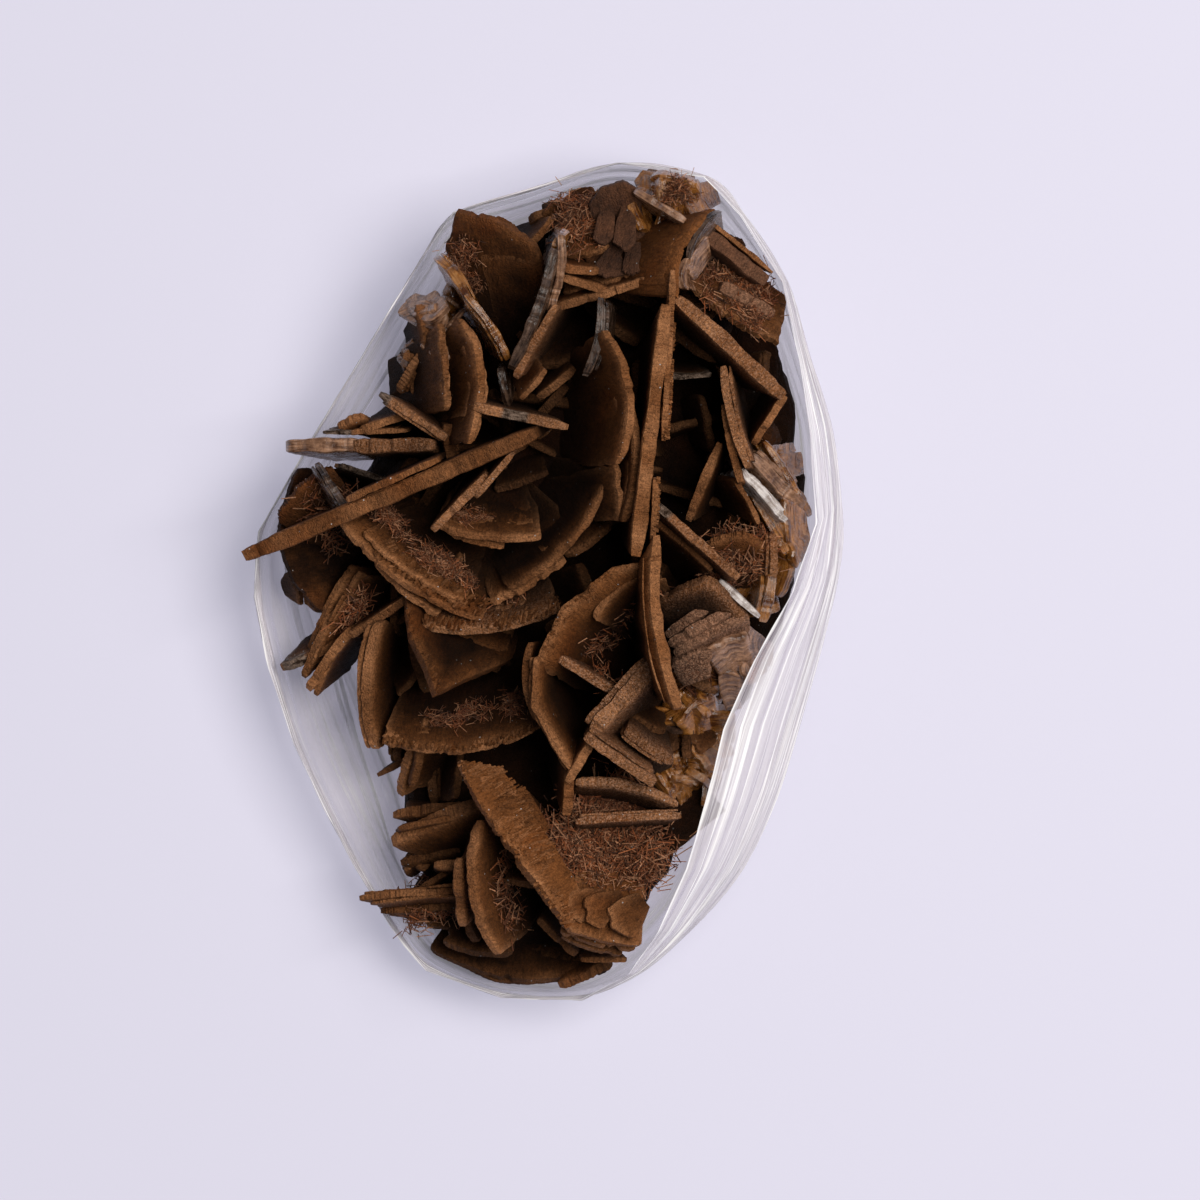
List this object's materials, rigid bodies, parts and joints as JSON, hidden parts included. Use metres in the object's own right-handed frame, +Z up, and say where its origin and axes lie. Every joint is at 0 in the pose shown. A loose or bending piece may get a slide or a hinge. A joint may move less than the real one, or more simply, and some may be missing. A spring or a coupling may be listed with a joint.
{
  "type": "baryte plate",
  "caption": "Mineral specimen of bladed brown crystals grown together on a thin base, with its back and sides wrapped in clear film",
  "frame": {"origin": "on the resting surface, under the middle of the object's box", "axes": "+Z is up out of the crystal side, +Y runs along the plate's length to its narrower end, +X is across it"},
  "size_m": [0.0812, 0.1144, 0.0363],
  "materials": {
    "baryte": "brown iron-oxide coat over translucent grey crystal",
    "film": "clear stretched film"
  },
  "bodies": {
    "root": {"baryte_crystals": "baryte", "film_wrap": "film"}
  },
  "joints": []
}
